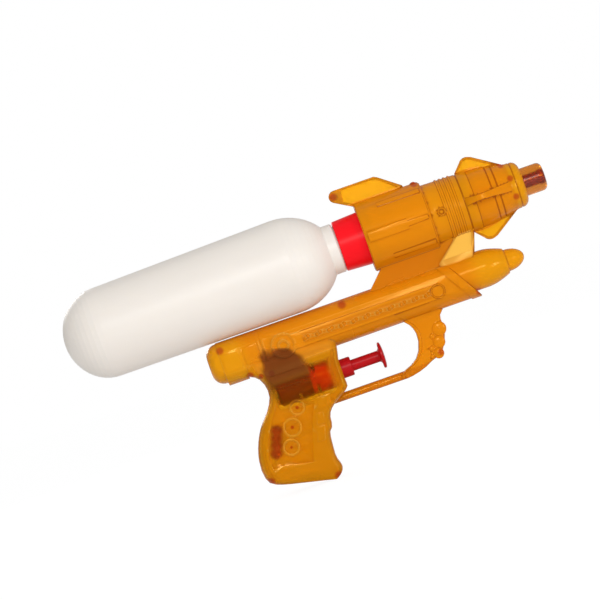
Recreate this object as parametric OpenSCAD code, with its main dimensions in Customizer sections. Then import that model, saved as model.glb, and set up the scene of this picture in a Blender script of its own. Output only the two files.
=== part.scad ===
// Water squirter: a toy water pistol with a screw-on bottle and a push-trigger pump.
// Millimetres. X runs to the muzzle and Z is up. The two half shells meet at Y = 0.

/* [Layout] */
// Height of the axis of the bottle, cap and nozzle
bore_z = 126; // [125:0.5:129]
// Height of the lower barrel's axis
barrel_z = 84.6; // [83:0.2:85]
// Height of the pump's axis
pump_z = 58.6; // [57.5:0.1:59.5]
// Radial play where one piece slides or turns in another
slide_fit = 0.06; // [0.03:0.01:0.09]
// Radial play where one piece is pushed into another for good
push_fit = 0.03; // [0.02:0.01:0.05]
// Play between flat faces that only locate each other
face_fit = 0.05; // [0.03:0.01:0.1]

/* [Upper housing] */
// Rear face of the upper housing
housing_x = 37; // [36:0.5:38]
// Length of the wide rear section
rear_len = 40; // [39:0.5:42]
// Radius of the wide rear section
rear_r = 20.7; // [20.2:0.1:21.5]
// Length of the ribbed middle section
mid_len = 27.5; // [26:0.5:30]
// Radius of the ribbed middle section
mid_r = 18; // [17.4:0.1:18.6]
// Length of the front cone
cone_len = 23; // [21:0.5:26]
// Radius of the front cone at its small end
cone_tip_r = 13.6; // [13:0.1:14.4]
// Length of the collar round the nozzle
collar_len = 7; // [6:0.5:8]
// Wall thickness of the half shells
wall = 1.8; // [1.5:0.1:2]
// Height of the raised reliefs
relief = 0.7; // [0.4:0.1:1]

/* [Fins] */
// Thickness of a fin at its root
fin_root_t = 4.8; // [4:0.2:6]
// Thickness of a fin at its edge
fin_edge_t = 3.2; // [3:0.1:3.6]
// Depth of the sunk area on each side of a fin
fin_sink = 0.35; // [0.25:0.05:0.4]
// Reach of the four front fins from the bore axis
front_fin_reach = 25; // [23.5:0.5:26]
// Reach of the rear top fin from the bore axis
rear_fin_reach = 31.8; // [30:0.2:33]

/* [Lower barrel] */
// Rear end of the barrel
barrel_rear = -72.5; // [-75:0.5:-71]
// Radius of the barrel
barrel_r = 12.3; // [12:0.1:12.6]
// Half width of the barrel between its flattened sides
barrel_half_w = 11; // [10.6:0.1:11.4]
// Radius of the bullet nose
nose_r = 11; // [10.4:0.1:11.4]
// Height of the bullet nose's axis above the barrel's
nose_rise = 1.8; // [1:0.2:2]
// Front end of the bullet nose
nose_end = 121; // [118:0.5:124]
// Radius of the bullet nose's tip piece
tip_r = 6.5; // [6:0.1:7]
// Half width of the pylon below the upper housing
pylon_half_w = 6; // [5.6:0.1:6.6]

/* [Grip and guard] */
// Half width of the grip
grip_half_w = 11.6; // [11.4:0.1:12.2]
// Radius of the grip's rounded back edges
grip_back_r = 6.5; // [5:0.5:7.5]
// Radius of the grip's rounded front edges
grip_front_r = 4; // [3:0.5:5]
// Slope of the grip's base in degrees
base_slope = 12.8; // [11:0.2:14]
// Depth of the sunk panel on the grip's side
panel_depth = 0.6; // [0.3:0.1:0.8]
// Height of the middle of the guard's bar
guard_z = 43.2; // [42.6:0.2:43.8]
// Thickness of the guard's bar
guard_t = 4.6; // [4:0.2:5]
// Half width of the guard
guard_half_w = 4.5; // [4:0.1:5]
// Width of the rim beside the finger opening
guard_rim = 2; // [1.6:0.1:2.4]
// Radius of the pins that line up the half shells
pin_r = 1.1; // [0.9:0.1:1.2]
// Length of the pins
pin_len = 1.2; // [1:0.1:1.3]

/* [Bottle and cap] */
// Largest radius of the bottle, near its shoulder
bottle_r = 28; // [27:0.1:28.2]
// Radius of the bottle where its rear dome starts
bottle_rear_r = 26.7; // [25.5:0.1:27.4]
// Length of the bottle from its lip to its rear end
bottle_len = 184.2; // [170:0.1:195]
// Length of the rear dome
dome_len = 24.5; // [20:0.5:30]
// Droop of the bottle in the play of its thread, in degrees
droop = 0.7; // [0.1:0.1:0.7]
// Wall thickness of the bottle
bottle_wall = 1.4; // [1:0.1:1.8]
// Radius of the bottle's neck without its thread
neck_r = 12.5; // [12:0.1:12.8]
// Play between the cap's rear edge and the bead below the neck
bead_play = 0.4; // [0.3:0.1:0.8]
// Radius of the bead below the neck
bead_r = 14.6; // [14:0.1:15]
// Length of the bead
bead_len = 6.2; // [5:0.1:8]
// Length of the cap behind the housing
cap_reach = 15.5; // [15.2:0.1:16.5]
// Outside radius of the cap at its rear edge
cap_rear_r = 14.9; // [14.8:0.1:15.4]
// Outside radius of the cap where it enters the housing
cap_front_r = 15.7; // [15.5:0.1:16.2]
// Radius of the cap's threaded bore at the bottom of the thread
cap_bore_r = 13.7; // [13.6:0.05:13.8]
// Radius of the flange that locks the cap behind the housing's rear wall
cap_flange_r = 17.6; // [17:0.1:18.2]
// Thickness of that flange
cap_flange_t = 2; // [1.6:0.1:2.4]
// Thickness of the seal between the lip and the cap
seal_t = 1.2; // [0.8:0.1:1.4]

/* [Pump] */
// Inner face of the trigger block's front wall
block_face = -2.4; // [-2.8:0.1:-2.2]
// Outside radius of the pump cylinder
pump_r = 9.5; // [9.3:0.1:9.6]
// Radius of the pump's bore
pump_bore_r = 6.6; // [6.4:0.1:6.8]
// Rear end of the pump cylinder
pump_rear = -40.5; // [-41:0.1:-40]
// Thickness of the pump's end walls
pump_end_t = 2; // [1.6:0.1:2.4]
// Outside radius of the gland's sleeve
gland_r = 9; // [8.8:0.1:9.2]
// Chamfer on the outer ends of the pump cylinder and the gland
pump_chamfer = 1.6; // [1.5:0.1:2]
// Length of the gland's sleeve
gland_len = 17; // [16:0.5:18]
// Thickness of the gland's front wall
gland_front_t = 3.2; // [3:0.1:3.6]
// Radius of the cylinder's stem inside the gland's sleeve
stem_r = 8; // [7.8:0.1:8.1]
// Radius of the gland's nose
gland_nose_r = 5.65; // [5.4:0.05:5.8]
// Length of the gland's nose from the inner face of the front wall
gland_nose_len = 8.2; // [7:0.1:9]
// Radius of the plunger's rod
rod_r = 3.35; // [3:0.05:3.5]
// Radius of the finger plate
plate_r = 7.7; // [7:0.1:8.5]
// Thickness of the finger plate
plate_t = 2.3; // [1.8:0.1:3]
// Travel of the trigger
stroke = 16; // [12:0.5:16]
// Play between the finger plate and the gland's nose at full travel
stroke_rest = 1.4; // [0.5:0.1:2.5]
// Length of the piston
piston_len = 5.5; // [5:0.1:6]
// Radius of the rod's end inside the piston
spigot_r = 2.2; // [1.8:0.1:2.4]
// Thickness of the round seals' cord
seal_cord = 1.5; // [1.3:0.1:1.6]
// Wire thickness of the return spring
wire_d = 0.9; // [0.7:0.1:1]
// Mean radius of the return spring
spring_r = 4.6; // [4.2:0.1:5]
// Turns of the return spring
spring_turns = 7; // [6:0.5:8]

/* [Valves and tubes] */
// Distance of the inlet tower's axis from the pump's rear end
inlet_off = 5; // [4.9:0.1:5.1]
// Distance between the axes of the two towers
tower_gap = 10.6; // [10.2:0.1:11]
// Radius of the towers
tower_r = 4.8; // [4.6:0.1:4.9]
// Radius of the valve chambers in the towers
chamber_r = 3.3; // [3.1:0.1:3.5]
// Radius of the valve balls
ball_r = 2.4; // [2.2:0.1:2.6]
// Lift of the valve balls
ball_lift = 1.2; // [0.8:0.1:1.5]
// Height of the supply tube's run in the barrel above the barrel's axis
supply_rise = 4; // [3.8:0.1:4.4]
// Height of the delivery tube's run in the barrel below the barrel's axis
delivery_drop = 2; // [1.8:0.1:2.4]
// Outside radius of the tubes
tube_r = 2.2; // [2:0.1:2.4]
// Radius of the nipples that the tubes are pushed on
nipple_r = 1.43; // [1.3:0.01:1.5]
// Radius of the water passages
passage_r = 0.8; // [0.6:0.1:0.9]
// Length of the nipples
nipple_len = 6; // [5:0.5:7]
// Bend radius of the supply tube
supply_bend = 9; // [8:0.5:9.5]
// Bend radius of the delivery tube
delivery_bend = 13; // [11:0.5:14]
// Place of the supply tube's upright along X
supply_x = 56.5; // [56:0.5:58]
// Place of the delivery tube's upright along X
delivery_x = 65.5; // [64.5:0.5:66.5]
// Length of the dip tube in the bottle
dip_len = 150; // [120:1:160]

/* [Nozzle] */
// Radius of the nozzle tip
nozzle_r = 8.3; // [8:0.1:8.6]
// Radius of the nozzle tip inside the collar
nozzle_neck_r = 7.8; // [7.4:0.1:7.9]
// Length of the nozzle tip in front of the collar
nozzle_len = 12.8; // [11:0.1:14]
// Radius of the nozzle tip's flange inside the collar
flange_r = 10.8; // [10:0.1:11]
// Thickness of that flange
flange_t = 2; // [1.6:0.1:2.4]
// Radius of the jet insert
jet_r = 3.9; // [3.6:0.1:4.1]
// Radius of the jet insert's front flange
jet_flange_r = 4.4; // [4.2:0.1:4.8]
// Radius of the jet's hole
jet_hole_r = 0.6; // [0.4:0.1:0.8]

/* [Hidden] */
$fn = 64;
step_x = housing_x + rear_len;
cone_x = step_x + mid_len;
collar_x = cone_x + cone_len;
muzzle_x = collar_x + collar_len;
nozzle_end = muzzle_x + nozzle_len;
mid_front_r = mid_r - 0.6;
cone_r = mid_front_r - 0.3;
nose_z = barrel_z + nose_rise;
supply_z = barrel_z + supply_rise;
delivery_z = barrel_z - delivery_drop;
cap_rear = housing_x - cap_reach;
cap_flange_x = housing_x + wall + face_fit;
cap_front = cap_flange_x + cap_flange_t;
cap_wall_x = cap_flange_x - 0.6;
seal_r = cap_bore_r - 0.4;
seat_x = cap_wall_x - seal_r * sin(droop) - 0.01;
tube_bore_r = nipple_r + push_fit;
gland_rear = block_face - gland_len - face_fit;
gland_face = block_face - face_fit;
gland_wall_x = gland_face - gland_front_t;
nose_front = block_face + gland_nose_len;
plate_x = nose_front + stroke + stroke_rest;
bore_end = pump_rear + pump_end_t;
piston_front = gland_wall_x - 0.2;
piston_rear = piston_front - piston_len;
cord_r = seal_cord / 2;
inlet_x = pump_rear + inlet_off;
outlet_x = inlet_x + tower_gap;
outlet_seat_z = pump_z + pump_r + 0.8;
seat_rise = sqrt(ball_r * ball_r - 1.3 * 1.3);
outlet_ball_z = outlet_seat_z + seat_rise;
outlet_plug_z = outlet_ball_z + ball_r + ball_lift;
outlet_top = delivery_z - tower_r;
inlet_floor_z = outlet_seat_z + 1;
inlet_ball_z = inlet_floor_z + ball_r + 0.02;
inlet_plug_z = inlet_ball_z + ball_lift + seat_rise + face_fit;
inlet_top = supply_z - tower_r - 3;

amber = [0.86, 0.55, 0.12, 0.75];
dark = [0.25, 0.11, 0.07];
red = [0.82, 0.1, 0.14];
milky = [0.9, 0.88, 0.82];

// Smooth curve through [t, value] points, read at t.
function grade(p, i) = let (a = max(i - 1, 0), b = min(i + 1, len(p) - 1))
    (p[b][1] - p[a][1]) / (p[b][0] - p[a][0]);
function place(p, t) = max([0, for (k = [0:len(p) - 2]) if (p[k][0] <= t) k]);
function curve(p, t) = let (i = place(p, t), h = p[i + 1][0] - p[i][0], s = (t - p[i][0]) / h)
    p[i][1] * (1 + 2 * s) * pow(1 - s, 2) + h * grade(p, i) * s * pow(1 - s, 2)
    + p[i + 1][1] * s * s * (3 - 2 * s) + h * grade(p, i + 1) * s * s * (s - 1);

// Arc of an ellipse as points.
function arc(c, rx, ry, a0, a1, n) = [for (i = [0:n]) let (a = a0 + (a1 - a0) * i / n)
    c + [rx * cos(a), ry * sin(a)]];

// Outline of a rounded rectangle at height z, from x0 to x1 and to half width c on both sides.
function ring(z, x0, x1, c, r0, r1) = let (q = (x1 - x0) / 2 - 0.05, a = min(r0, q), b = min(r1, q)) [
    for (p = arc([x1 - b, c - b], b, b, 0, 90, 4)) [p[0], p[1], z],
    for (p = arc([x0 + a, c - a], a, a, 90, 180, 4)) [p[0], p[1], z],
    for (p = arc([x0 + a, a - c], a, a, 180, 270, 4)) [p[0], p[1], z],
    for (p = arc([x1 - b, b - c], b, b, 270, 360, 4)) [p[0], p[1], z]];

// Solid through a stack of rings with equal point counts.
module loft(rings) {
    n = len(rings[0]);
    m = len(rings);
    sides = [for (i = [0:m - 2], j = [0:n - 1]) let (a = i * n + j, b = i * n + (j + 1) % n)
        each [[a, a + n, b + n], [a, b + n, b]]];
    base = [for (j = [1:n - 2]) [0, j, j + 1]];
    top = [for (j = [1:n - 2]) [(m - 1) * n, (m - 1) * n + j + 1, (m - 1) * n + j]];
    polyhedron(points = [for (r = rings) each r], faces = concat(sides, base, top));
}

// Solid of revolution about X at height z, from [x, radius] points.
module turned(points, z) {
    translate([0, 0, z])
        rotate([0, 90, 0])
        rotate_extrude()
        polygon([for (p = points) [p[1], p[0]]]);
}

module rod_x(r, x0, x1, z) {
    translate([x0, 0, z])
        rotate([0, 90, 0])
        cylinder(r = r, h = x1 - x0);
}

// Cylinder along Y from y0 to y1.
module rod_y(r, p, y0, y1) {
    translate([p[0], y0, p[1]])
        rotate([-90, 0, 0])
        cylinder(r = r, h = y1 - y0);
}

// Outline in X and Z, as thick as from y0 to y1.
module plate(points, y0, y1) {
    translate([0, y1, 0])
        rotate([90, 0, 0])
        linear_extrude(y1 - y0)
        polygon(points);
}

module box(x, y, z) {
    translate([x[0], y[0], z[0]])
        cube([x[1] - x[0], y[1] - y[0], z[1] - z[0]]);
}

function cone_at(x) = cone_tip_r + (cone_r - cone_tip_r) * cos(90 * (x - cone_x) / cone_len);
function mid_at(x) = mid_r + (mid_front_r - mid_r) * (x - step_x) / mid_len;
function groove(x, r) = [[x - 0.5, r], [x, r - 0.5], [x + 0.5, r]];
function rib_at(x) = let (r = mid_at(x)) [[x - 0.8, r], [x - 0.4, r + 0.5], [x + 0.4, r + 0.5], [x + 0.8, r]];

// Upper housing: wide rear section, ribbed middle, front cone with two grooves, and collar.
module housing_form() {
    dome_x = collar_x + 2.8;
    turned(concat(
        [[housing_x, 0], [housing_x, rear_r - 0.6], [housing_x + 0.6, rear_r]],
        [[step_x - 1, rear_r], [step_x, rear_r - 1], [step_x, mid_r]],
        [for (i = [0:3]) each rib_at(step_x + 9.2 + 2.6 * i)],
        groove(step_x + 21, mid_at(step_x + 21)),
        [[cone_x - 0.5, mid_front_r], [cone_x, cone_r - 0.5]],
        [for (i = [1:4]) let (x = cone_x + cone_len * i / 10) [x, cone_at(x)]],
        groove(collar_x - 12.3, cone_at(collar_x - 12.3)),
        groove(collar_x - 8.8, cone_at(collar_x - 8.8)),
        [for (i = [7:10]) let (x = cone_x + cone_len * i / 10) [x, cone_at(x)]],
        [[collar_x + 1.8, cone_tip_r], [collar_x + 2.1, cone_tip_r - 0.5]],
        arc([dome_x, nozzle_r + 0.5], muzzle_x - dome_x, cone_tip_r - nozzle_r - 0.6, 90, 0, 6),
        [[muzzle_x, 0]]), bore_z);
}

module housing_hollow() {
    turned(concat(
        [[housing_x + wall, 0], [housing_x + wall, rear_r - wall], [step_x - wall, rear_r - wall]],
        [[step_x - wall + 1, mid_r - wall], [cone_x, cone_r - wall]],
        [for (i = [2:2:10]) let (x = cone_x + cone_len * i / 10) [x, cone_at(x) - wall]],
        [[collar_x + flange_t, cone_tip_r - wall], [collar_x + flange_t, 0]]), bore_z);
}

// Space between two faces that lean together from root to reach, moved in by the given amount.
module fin_taper(root, reach, inset) {
    slope = (fin_root_t - fin_edge_t) / 2 / (reach - root);
    foot = fin_root_t / 2 + slope * root - inset;
    head = fin_edge_t / 2 - inset;
    rotate([90, 0, 90])
        translate([0, 0, -200])
        linear_extrude(400)
        polygon([[-foot, 0], [foot, 0], [head, reach], [-head, reach]]);
}

// Fin outline as [x, height above the bore axis], tapered from root to edge, with a sunk area on both sides.
module fin(points, sunk, root, reach) {
    translate([0, 0, bore_z])
        difference() {
            intersection() {
                plate(points, -fin_root_t, fin_root_t);
                fin_taper(root, reach, 0);
            }
            difference() {
                plate(sunk, -fin_root_t, fin_root_t);
                fin_taper(root, reach, fin_sink);
            }
        }
}

module front_fin() {
    edge = front_fin_reach;
    bend = [cone_x + 2.4, edge - 4.6];
    end_x = collar_x - 8;
    fin(concat([[cone_x - 6, 12], [cone_x - 6, mid_front_r + 0.6]],
        arc(bend, 4.6, 4.6, 150, 70, 5),
        [[cone_x + 6, edge - 1], [collar_x - 6.5, cone_at(collar_x - 6.5) + 2]],
        [[collar_x - 0.5, cone_tip_r - 0.5], [collar_x - 0.5, 12]]),
        concat([[cone_x - 4.2, 12], [cone_x - 4.2, mid_front_r + 0.8]],
        arc(bend, 3.1, 3.1, 150, 70, 5),
        [[cone_x + 5.4, edge - 2.4], [end_x, cone_at(end_x) + 0.9], [end_x, 12]]), mid_front_r, edge);
}

module rear_fin() {
    top = rear_fin_reach;
    fin(concat([[step_x - 8, 17], [step_x - 9.5, rear_r + 1]],
        [[step_x - 21.5, top - 1], [step_x - 23.5, top]],
        arc([housing_x - 8.4, top - 3.6], 3.6, 3.6, 90, 235, 6),
        [[housing_x + 0.8, rear_r - 2], [housing_x + 2, 17]]),
        [[step_x - 10.6, 17], [step_x - 12.4, rear_r + 0.9], [step_x - 22, top - 2.3],
        [step_x - 23.9, top - 1.4], [housing_x - 4, top - 1.4], [housing_x - 4.6, top - 8.2],
        [housing_x + 2.4, rear_r - 1.4], [housing_x + 3.4, 17]], rear_r, top);
}

// Relief on one side of the rear section: a key shape between two bars.
module housing_relief() {
    intersection() {
        rod_x(rear_r + relief, housing_x + 1.5, step_x - 1.6, bore_z);
        union() {
            box([housing_x + 2, housing_x + 25.8], [5, 40], [bore_z - 4, bore_z + 2.6]);
            box([housing_x + 25, step_x - 2], [5, 40], [bore_z - 2.1, bore_z + 0.8]);
            for (a = [-47.5, 47.5])
                translate([0, 0, bore_z])
                    rotate([a, 0, 0])
                    box([housing_x + 12.5, step_x - 2], [10, 40], [-1.9, 1.9]);
        }
    }
    dimple = [step_x + 6.4, bore_z - 0.6];
    difference() {
        rod_y(2.6, dimple, mid_r - 4, mid_at(dimple[0]) + 0.5);
        rod_y(1.6, dimple, mid_at(dimple[0]) - 0.4, mid_r + 4);
    }
}

function nose_at(t) = nose_r - (nose_r - tip_r - 1) * pow(t, 1.6);
nose_x = cone_x - 7.5;
tip_x = nose_end - 11;

module nose_form() {
    turned(concat(
        [[step_x - 14, 0], [step_x - 14, nose_r]],
        [for (i = [0:6]) [nose_x + (tip_x - nose_x) * i / 6, nose_at(i / 6)]],
        [[tip_x + 0.4, tip_r]],
        arc([tip_x + 0.4, 0], nose_end - tip_x - 0.4, tip_r, 80, 0, 7)), nose_z);
}

module nose_hollow() {
    turned(concat(
        [[step_x - 20, 0], [step_x - 20, nose_r - wall]],
        [for (i = [0:5]) [nose_x + (tip_x - nose_x) * i / 6, nose_at(i / 6) - wall]],
        [[tip_x - 2, 0]]), nose_z);
}

sleeve_top = step_x - 1.5;
sleeve_foot = step_x + 13.5;
sleeve_angle = atan2(2 * barrel_r, sleeve_foot - sleeve_top);

// Slanted space in front of the barrel's sleeve, moved back by the given amount.
module sleeve_front(back) {
    translate([(sleeve_top + sleeve_foot) / 2 - back / sin(sleeve_angle), 0, barrel_z])
        rotate([0, sleeve_angle, 0])
        box([-60, 60], [-40, 40], [0, 80]);
}

module barrel_tube(r, half_w, x0, x1) {
    intersection() {
        rod_x(r, x0, x1, barrel_z);
        box([x0 - 1, x1 + 1], [-half_w, half_w], [barrel_z - 40, barrel_z + 40]);
    }
}

// Lower barrel with its rounded rear end, rear sleeve, rings and slanted front strap.
module barrel_form() {
    end_r = 5.2;
    difference() {
        intersection() {
            turned(concat(
                [[barrel_rear, 0]],
                arc([barrel_rear + 7, end_r], 7, barrel_r - end_r - 0.4, 180, 90, 7),
                [[barrel_rear + 7.6, barrel_r], [sleeve_foot + 4, barrel_r]],
                [[sleeve_foot + 4, 0]]), barrel_z);
            box([barrel_rear - 1, sleeve_foot + 6], [-barrel_half_w, barrel_half_w],
                [barrel_z - 20, barrel_z + 20]);
        }
        sleeve_front(0);
    }
    difference() {
        barrel_tube(barrel_r + 0.6, barrel_half_w + relief + 0.3, sleeve_top - 14, sleeve_foot + 4);
        sleeve_front(0.4);
        difference() {
            box([sleeve_top - 20, sleeve_foot + 10], [-20, 20], [barrel_z - 20, barrel_z + 20]);
            sleeve_front(5.4);
        }
        box([sleeve_top - 20, sleeve_foot + 10], [-20, 20], [barrel_z + barrel_r - 0.2, barrel_z + 20]);
    }
    translate([0, 0, -0.7])
        barrel_tube(barrel_r + 0.7, barrel_half_w + 0.4, barrel_rear + 7.6, barrel_rear + 20);
    translate([0, 0, -0.5])
        barrel_tube(barrel_r + 0.5, barrel_half_w + 0.5, barrel_rear + 30.5, barrel_rear + 31.8);
    translate([0, 0, -0.5])
        barrel_tube(barrel_r + 0.5, barrel_half_w + 0.5, barrel_rear + 33, barrel_rear + 34.3);
}

module barrel_hollow() {
    barrel_tube(barrel_r - wall, barrel_half_w - wall, barrel_rear + wall + 2, step_x - 12);
}

bead_n = 11;
strip_half = 4.4;

// Relief on one side of the barrel: facet panels, boss with rings, strip with twin beads, and guard root.
module barrel_relief() {
    side = barrel_half_w;
    boss = [barrel_rear + 44.7, barrel_z - 1.7];
    strip = [boss[0] + 6, step_x - 6];
    box([barrel_rear + 9, barrel_rear + 18.6], [side - 2, side + 0.9], [barrel_z - 6, barrel_z + 4]);
    box([barrel_rear + 21.5, barrel_rear + 29.5], [side - 2, side + 0.5], [barrel_z - 5.4, barrel_z + 4]);
    difference() {
        rod_y(7.4, boss, side - 4, side + 1.1);
        rod_y(6, boss, side + 0.5, side + 2);
    }
    difference() {
        rod_y(3.4, boss, side - 1, side + 1.2);
        rod_y(2.2, boss, side + 0.6, side + 2);
    }
    plate(concat(
        [[strip[0], boss[1] - strip_half]],
        arc([strip[1] - strip_half, boss[1]], strip_half, strip_half, -90, 90, 8),
        [[strip[0], boss[1] + strip_half]]), side - 3, side + relief);
    difference() {
        rod_y(strip_half, [strip[1] - strip_half, boss[1]], side - 1, side + relief + 0.5);
        rod_y(strip_half - 1.1, [strip[1] - strip_half, boss[1]], side + relief, side + 3);
    }
    step = (strip[1] - strip[0] - 19) / (bead_n - 1);
    for (i = [0:bead_n - 1], d = [-1, 1])
        translate([strip[0] + 8 + step * i + d, side + 0.4, boss[1] + 0.35 * d])
        sphere(r = 1.3);
    intersection() {
        barrel_tube(barrel_r + 0.45, side + 0.45, 30, 70);
        plate([[37.5, barrel_z - 5.7], [59.8, barrel_z - 5.7], [58.6, barrel_z - 11.4],
            [43.5, barrel_z - 11.4]], 0, 30);
    }
}

pylon_foot = barrel_z + barrel_r - 1.5;
pylon_head = bore_z - 14;

// Pylon between the housing and the barrel, with the panel in front of it.
module pylon_form() {
    plate([[housing_x - 7.6, pylon_foot], [housing_x + 9, pylon_head], [step_x + 12, pylon_head],
        [step_x + 8.4, bore_z - 18], [step_x - 1, pylon_foot + 4], [step_x - 2, pylon_foot]],
        -pylon_half_w, pylon_half_w);
    difference() {
        plate([[step_x - 4.5, pylon_foot + 2], [step_x + 7.5, bore_z - 18.2], [step_x + 9.5, pylon_head],
            [cone_x - 5, pylon_head], [cone_x - 6.5, bore_z - 17.8], [step_x + 17.3, pylon_foot + 2],
            [step_x + 14.4, pylon_foot - 1], [step_x - 4.5, pylon_foot - 1]],
            -pylon_half_w - 1, pylon_half_w + 1);
        for (y = [-pylon_half_w - 3, pylon_half_w + 0.6])
            plate([[step_x - 1.2, pylon_foot + 3.4], [step_x + 8.7, bore_z - 18.6], [step_x + 11, pylon_head],
                [cone_x - 8, pylon_head], [cone_x - 8.6, bore_z - 17.8], [step_x + 15.8, pylon_foot + 3.4]],
                y, y + 2.4);
    }
}

module pylon_hollow() {
    half_w = pylon_half_w - wall;
    plate([[housing_x - 5.5, pylon_foot - 2], [housing_x + 11.6, pylon_head + 1],
        [step_x + 3, pylon_head + 1], [step_x - 6.5, pylon_foot + 5], [step_x - 7.5, pylon_foot - 2]],
        -half_w, half_w);
    plate([[step_x + 1, pylon_foot + 4], [step_x + 8, bore_z - 20], [cone_x - 9.5, bore_z - 20],
        [step_x + 15, pylon_foot + 4]], -half_w - 1, half_w + 1);
}

// Back and front of the grip and trigger block as [height, x] points.
grip_back = [[0, -27], [4, -45.5], [7.3, -56.6], [10.2, -61.6], [18.6, -63.8], [30.2, -61.8],
    [41.2, -56.6], [50.5, -49], [55, -46.2], [59.7, -45], [66, -46.2], [70, -48.8], [72.3, -53], [80, -56]];
grip_front = [[0, -23.8], [1.2, -21.6], [3.5, -19.4], [6, -18.6], [12, -20.2], [22, -19.5], [26.5, -18.9],
    [29.5, -16.6], [36, -15.5], [39, -13.6], [42, -10], [45.5, -4], [48.5, -0.6], [52, block_face + wall],
    [64, block_face + wall], [64.5, block_face + wall], [72, 1], [80, 1.6]];
grip_width = [[0, grip_half_w], [66, grip_half_w], [72, grip_half_w - 0.2], [80, barrel_half_w - 1.2]];
grip_levels = [0, 0.6, 1.4, 2.5, 4, 5.8, 8, 10.2, 13.5, 18.6, 24, 27, 29, 31.5, 35, 37.5, 39.5, 41.5, 43.5,
    45.5, 47, 48.6, 50.5, 53, 57, 61, 65, 68.5, 70.5, 72.3, 74.5, 80];

// Grip and trigger block, moved in from its faces by the given amount.
module grip_form(inset) {
    difference() {
        loft([for (z = grip_levels) let (x0 = curve(grip_back, z) + inset, x1 = curve(grip_front, z) - inset)
            ring(z, x0, max(x1, x0 + 1), curve(grip_width, z) - inset,
                max(grip_back_r - inset, 1), max(grip_front_r - inset, 1))]);
        translate([curve(grip_back, 7.3), 0, 7.3])
            rotate([0, base_slope, 0])
            box([-40, 80], [-30, 30], [-40, inset]);
    }
}

// Sunk side panel of the grip.
module grip_panel_cut() {
    plate([[-41.5, 68], [-42, 54], [-49, 43], [-54.4, 34], [-57.4, 24], [-56.8, 16.8], [-50.7, 17.1],
        [-33.4, 13.6], [-29.9, 26], [-25.6, 38], [-20, 49.3], [-8.4, 62.6], [-5, 68]],
        grip_half_w - panel_depth, grip_half_w + 2);
}

// Step at the front of the trigger block's side.
module block_cut() {
    plate([[-3.2, 71.5], [-11.8, 47], [-13, 43.6], [8, 43.6], [8, 71.5]],
        grip_half_w - panel_depth + 0.1, grip_half_w + 2);
}

// Three rings on the sunk panel.
module grip_rings() {
    floor_y = grip_half_w - panel_depth;
    for (p = [[-32.2, 46.4, 4.6], [-38.6, 36.5, 5.6], [-42.9, 25.8, 5]])
        difference() {
            rod_y(p[2], p, floor_y - 0.6, floor_y + panel_depth);
            rod_y(p[2] - 1.1, p, floor_y, floor_y + 2);
            rod_y(2, p, floor_y - 0.3, floor_y + 2);
        }
}

// Three pads at the finger side of the grip.
module grip_pads() {
    plate([[-21.4, 41.4], [-19.2, 47.4], [-13.4, 47.4], [-15.8, 41.4]], grip_half_w - 1, grip_half_w + 0.5);
    plate([[-24.6, 33], [-22.4, 39.4], [-19.2, 39.4], [-19.6, 33]], grip_half_w - 1, grip_half_w + 0.5);
    plate([[-27.4, 23.6], [-25.2, 31.6], [-20.6, 31.6], [-23, 23.6]], grip_half_w - 1, grip_half_w + 0.5);
}

// Rear and front of the guard's upright as [height, x] points.
guard_inside = [[41, 31], [44, 31], [46.2, 35], [47.3, 38], [49.9, 42], [53.9, 45], [59.2, 46.8],
    [63.8, 47], [69, 45.4], [72.5, 42.4], [77, 40]];
guard_outside = [[41, 36], [42.3, 42], [43.8, 46.4], [45.8, 50.5], [47.3, 55], [49.9, 58.5], [53.9, 61],
    [59.2, 63], [63.8, 63.4], [69, 63.4], [72.5, 66.4], [77, 67]];
guard_levels = [41.2, 42.3, 43.8, 45.8, 47.3, 49.9, 53.9, 59.2, 63.8, 67, 69.5, 72.2, 76];
knuckles = [[60.3, 62.2, 4.3], [57.8, 55, 3.7], [55.6, 48.8, 3.1]];
knobs = [[55, 59.2, 1.5], [52.6, 52.6, 1.6], [51.4, 48.2, 1.2]];

// Trigger guard: straight bar, rising front with a rim, three knuckles and three knobs beside them.
module guard_form() {
    translate([-13, 0, guard_z])
        rotate([90, 0, 90])
        linear_extrude(48)
        polygon(concat(
            arc([guard_half_w - guard_t / 2, 0], guard_t / 2, guard_t / 2, -90, 90, 8),
            arc([guard_t / 2 - guard_half_w, 0], guard_t / 2, guard_t / 2, 90, 270, 8)));
    loft([for (z = guard_levels)
        ring(z, curve(guard_inside, z), curve(guard_outside, z), guard_half_w, 2.2, 2.2)]);
    loft([for (z = guard_levels) let (x = curve(guard_inside, z))
        ring(z, x, x + guard_rim, guard_half_w + 0.5, 0.7, 0.7)]);
    for (k = knuckles)
        peg(k, guard_half_w - 0.2, 1.1);
    for (k = knobs)
        peg(k, guard_half_w - 0.1, 0.8);
}

// Peg along Y at p = [x, z, radius], with domed ends.
module peg(p, half, rise) {
    translate([p[0], 0, p[1]])
        rotate([-90, 0, 0])
        rotate_extrude()
        polygon(concat(arc([0, -half], p[2], rise, -90, 0, 4), arc([0, half], p[2], rise, 0, 90, 4)));
}

// Places of the pins that line up the half shells, each with the depth of its boss, or 0 in solid plastic.
step_pin = [step_x - 3.5, bore_z + rear_r - 1.6, 4];
boss_r = pin_r + 1.2;
boss_z = barrel_r - wall - boss_r + 0.5;
pins = [step_pin, [barrel_rear + 8, barrel_z + boss_z - 1.3, 6], [11.3, barrel_z + boss_z, 4.2],
    [sleeve_foot - 6, barrel_z - boss_z + 0.1, 4.2], [36.8, guard_z + 0.4, 0],
    [knuckles[2][0], knuckles[2][1], 0],
    [-58.6, 12.6, 7], [-22.6, 4.6, 9], [housing_x - 7.6, bore_z + rear_fin_reach - 4.2, 0]];

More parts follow.
